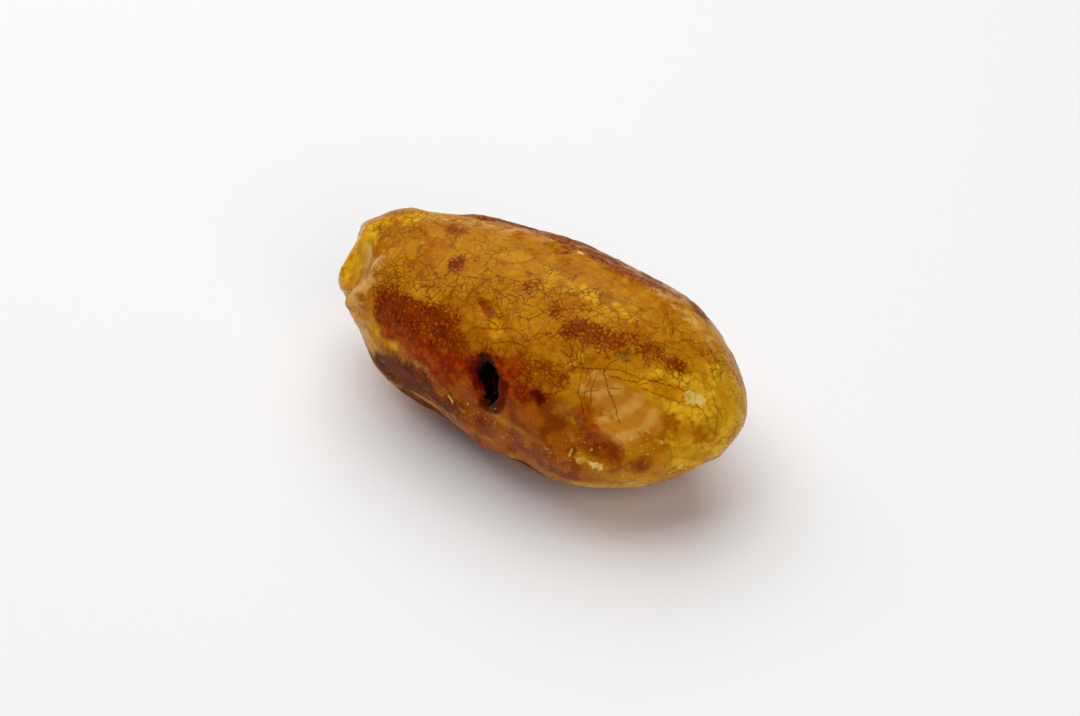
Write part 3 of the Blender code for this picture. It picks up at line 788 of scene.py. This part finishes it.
def lay(below, above, share, most=1.0):
    """Lays a colour over another by a share, up to the most that there may be of it."""
    share = add("ShaderNodeMath", {0: share, 1: most}, operation="MULTIPLY")
    return add("ShaderNodeMix", {0: share, 6: below, 7: above}, 2, data_type="RGBA")

print("nodes up to the stains", len(tree.nodes))

# %% Gold, painted light of the yellow places, the stains and painted shade low down
some_mottles = add("ShaderNodeMapRange", {0: mottle, 1: 0.45, 2: 0.70})
colour = tones("#b86a04", "#cc860e", cloud, 0.38, 0.62)
colour = lay(colour, linear("#e6a61c"), some_mottles, 0.40)
plate_tone = add("ShaderNodeAttribute", {}, "Fac", attribute_name="plate")
colour = lay(colour, linear("#e2a01e"), plate_tone, 0.45)
# Painted light: the yellow glow of the thin ends and the lit top.
colour = lay(colour, tones("#dca010", "#f4bc20", patch, 0.40, 0.60), mask_share("yellow"))
colour = lay(colour, tones("#742606", "#a45a26", grain, 0.45, 0.60), mask_share("scratched"), 0.9)
# Brown: the resin's own dark brown, deepened into painted shade on the low front, the underside and the low
# back.
colour = lay(colour, tones("#480a01", "#742001", patch, 0.38, 0.66), mask_share("brown"), 0.93)
# Russet: stain beside the pit and on the crest, and painted shade low on the front, in the corner, low on the
# back and in the dip.
colour = lay(colour, tones("#8a3204", "#b45c08", patch, 0.38, 0.64), mask_share("russet"), 0.92)
colour = lay(colour, tones("#8c1602", "#b84604", mottle, 0.38, 0.64), mask_share("ember"), 0.95)

# %% [markdown]
# Rust comes in along the finest cracks. In the middle of a patch it fills the cells of that net, and towards
# the rim only the lines are left. So the rust's mask sets how far it reaches from the lines into the cells.

# %% Rust
RUST_CELL = 0.62 * MM
RUST_FILL = 0.36
colour = lay(colour, tones("#a03c04", "#be680a", mottle, 0.40, 0.62), mask_share("rust"), 0.82)
rust_mask = add("ShaderNodeAttribute", {}, "Fac", attribute_name="rust")
rust_border = add("ShaderNodeTexVoronoi", {"Vector": bent, "Scale": 1 / RUST_CELL}, feature="DISTANCE_TO_EDGE")
rust_fill = add("ShaderNodeMath", {0: rust_mask, 1: mottle}, operation="MULTIPLY")
rust_fill = add("ShaderNodeMath", {0: rust_fill, 1: 2 * RUST_FILL}, operation="MULTIPLY")
rust_share = add("ShaderNodeMath", {0: rust_fill, 1: rust_border}, operation="SUBTRACT")
rust_share = add("ShaderNodeMapRange", {0: rust_share, 1: 0.0, 2: 0.20}, interpolation_type="SMOOTHSTEP")
colour = lay(colour, tones("#681202", "#903006", patch, 0.40, 0.62), rust_share, 0.85)
print("nodes up to the rust", len(tree.nodes))

# %% [markdown]
# The blow that broke the corner left ripples round the place that was hit. Their sheen is painted as pale
# arcs about 3 mm apart over the fresh resin. Splinters get painted glints, and the scratched strip pale
# scratches, as pale flecks of about a tenth of a millimetre.

# %% Fresh breaks, painted shade, sheen and glints, cracks and the pit
BLOW_AT = tuple(c * MM for c in (15.4, -9.0, 23.6))
ARC_SPACING = 2.9 * MM
arcs = add("ShaderNodeVectorMath", {0: bent, 1: BLOW_AT}, operation="SUBTRACT")
arcs = add("ShaderNodeVectorMath", {0: arcs}, "Value", operation="LENGTH")
arcs = add("ShaderNodeMath", {0: arcs, 1: 2 * math.pi / ARC_SPACING}, operation="MULTIPLY")
arcs = add("ShaderNodeMath", {0: arcs}, operation="SINE")
# Fresh resin of the breaks, with the painted sheen of its ripples in pale arcs.
colour = lay(colour, tones("#da8c28", "#f0b04c", arcs, -0.7, 1.0), mask_share("fresh"), 0.90)
colour = lay(colour, tones("#8c3002", "#b8560a", mottle, 0.38, 0.64), mask_share("shaded"), 0.92)
colour = lay(colour, linear("#5a0a02"), mask_share("scorched"), 0.95)
# Painted sheen on ridges, edges and rims.
colour = lay(colour, linear("#f4be64"), mask_share("tan"), 0.8)
colour = lay(colour, linear("#86641c"), mask_share("smoky"), 0.6)
tile_share = add("ShaderNodeAttribute", {}, "Fac", attribute_name="tile")
colour = lay(colour, tones("#d88c06", "#e8a00e", patch, 0.40, 0.60), tile_share, 0.95)
colour = lay(colour, linear("#682604"), cracks, 0.85)
# Painted glints and highlights on chips, splinters and edges.
colour = lay(colour, tones("#e8bc38", "#ffe88c", mottle, 0.36, 0.64), mask_share("pale"), 0.8)
# Pale flecks: painted glints on splinters, and pale scratches on the strip behind the crest.
flecks = add("ShaderNodeMapRange", {0: grain, 1: 0.64, 2: 0.69})
fleck_share = add("ShaderNodeMath", {0: flecks, 1: mask_share("flecked")}, operation="MULTIPLY")
colour = lay(colour, linear("#ffe080"), fleck_share, 0.6)
# The pit painted near black: dark matter with painted shade in the hole.
pit_share = add("ShaderNodeAttribute", {}, "Fac", attribute_name="pit")
colour = lay(colour, linear("#060000"), pit_share)
print("colours laid with", len(tree.nodes), "nodes")

# %% [markdown]
# Gloss and grain: the crust is satin, the dark brown front and the scratched strip are nearly dull, and the
# fresh breaks are the glossiest. Bump gives the grain that is finer than the mesh, in waves of 0.4 mm and
# less. All larger forms are already in the mesh. Old resin has almost no clear sheen of its own, and what it
# has is warm.

# %% Gloss, bump and the shaders
FRESH_ROUGHNESS = (0.14, 0.28)
CRUST_ROUGHER = 0.08
DULL_ROUGHER = 0.30
dull_share = add("ShaderNodeMath", {0: mask_share("brown"), 1: mask_share("scratched")}, operation="MAXIMUM")
least, most = FRESH_ROUGHNESS
roughness = add("ShaderNodeMapRange", {0: mottle, 1: 0.3, 2: 0.7, 3: least, 4: most})
roughness = add("ShaderNodeMath", {0: dull_share, 1: DULL_ROUGHER, 2: roughness}, operation="MULTIPLY_ADD")
roughness = add("ShaderNodeMath", {0: crust_share, 1: CRUST_ROUGHER, 2: roughness}, operation="MULTIPLY_ADD")
bump = add("ShaderNodeBump", {"Height": grain, "Strength": 0.30, "Distance": 0.03 * MM})

surface = add("ShaderNodeBsdfPrincipled", {
    "Base Color": colour,
    "Roughness": roughness,
    "Normal": bump,
    "IOR": 1.54,
    "Transmission Weight": 0.20,
    "Specular IOR Level": 0.04,
    "Specular Tint": linear("#ffa640"),
    "Subsurface Weight": 0.15,
    "Subsurface Radius": (1.0, 0.45, 0.1),
    "Subsurface Scale": 1.5 * MM,
})
depth = add("ShaderNodeVolumeAbsorption", {"Color": linear("#ff9a2a"), "Density": 120.0})
add("ShaderNodeOutputMaterial", {"Surface": surface, "Volume": depth})
skin.data.materials.clear()
skin.data.materials.append(resin)
print("finished resin with", len(tree.nodes), "nodes")

# %% [markdown]
# The skin now stands for the solid: it rides on the same body, and the plain solid isn't shown.

# %% Put the skin on the frame
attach(skin, "root")
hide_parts("amber_nugget")

# %% [markdown]
# A pale floor and soft lights, as in a light tent. The camera looks down on the lump at 40 degrees, from the
# side of the pit. A long lens keeps the knobs in proportion.

# %% Floor
FLOOR_SIZE = 4.0
form = bmesh.new()
bmesh.ops.create_grid(form, x_segments=1, y_segments=1, size=FLOOR_SIZE / 2)
floor_mesh = bpy.data.meshes.new("floor")
form.to_mesh(floor_mesh)
form.free()
floor = bpy.data.objects.new("floor", floor_mesh)
bpy.context.scene.collection.objects.link(floor)
paper = bpy.data.materials.new("white_paper")
paper.use_nodes = True
paper.node_tree.nodes["Principled BSDF"].inputs["Base Color"].default_value = linear("#f4f4f4")
paper.node_tree.nodes["Principled BSDF"].inputs["Roughness"].default_value = 0.9
floor.data.materials.append(paper)

# %% Lights
def softbox(name, place, size, power):
    """A square lamp of a size in metres and a power in watts, turned to the lump."""
    light = bpy.data.lights.new(name, "AREA")
    light.size = size
    light.energy = power
    lamp = bpy.data.objects.new(name, light)
    lamp.location = place
    lamp.rotation_mode = "QUATERNION"
    lamp.rotation_quaternion = (-Vector(place)).to_track_quat("-Z", "Y")
    bpy.context.scene.collection.objects.link(lamp)

softbox("top light", (-0.20, 0.12, 0.58), 0.90, 5.2)
softbox("right light", (0.42, -0.30, 0.42), 0.40, 1.25)
world = bpy.data.worlds.new("room")
world.use_nodes = True
world.node_tree.nodes["Background"].inputs["Color"].default_value = (1.0, 1.0, 1.0, 1.0)
world.node_tree.nodes["Background"].inputs["Strength"].default_value = 0.12
bpy.context.scene.world = world
bpy.context.scene.view_settings.view_transform = "Standard"

# %% Camera
AZIMUTH = math.radians(35.0)
ELEVATION = math.radians(40.0)
DISTANCE = 0.385
AIM = Vector((0.0005, 0.0, 0.0114))
back = Vector((
    math.sin(AZIMUTH) * math.cos(ELEVATION),
    -math.cos(AZIMUTH) * math.cos(ELEVATION),
    math.sin(ELEVATION),
))
lens = bpy.data.cameras.new("camera")
lens.lens = 100.0
lens.sensor_width = 36.0
lens.clip_start = 0.01
camera = bpy.data.objects.new("camera", lens)
camera.location = AIM + back * DISTANCE
camera.rotation_mode = "QUATERNION"
camera.rotation_quaternion = (-back).to_track_quat("-Z", "Y")
bpy.context.scene.collection.objects.link(camera)
bpy.context.scene.camera = camera
print("camera at", [round(c, 3) for c in camera.location])
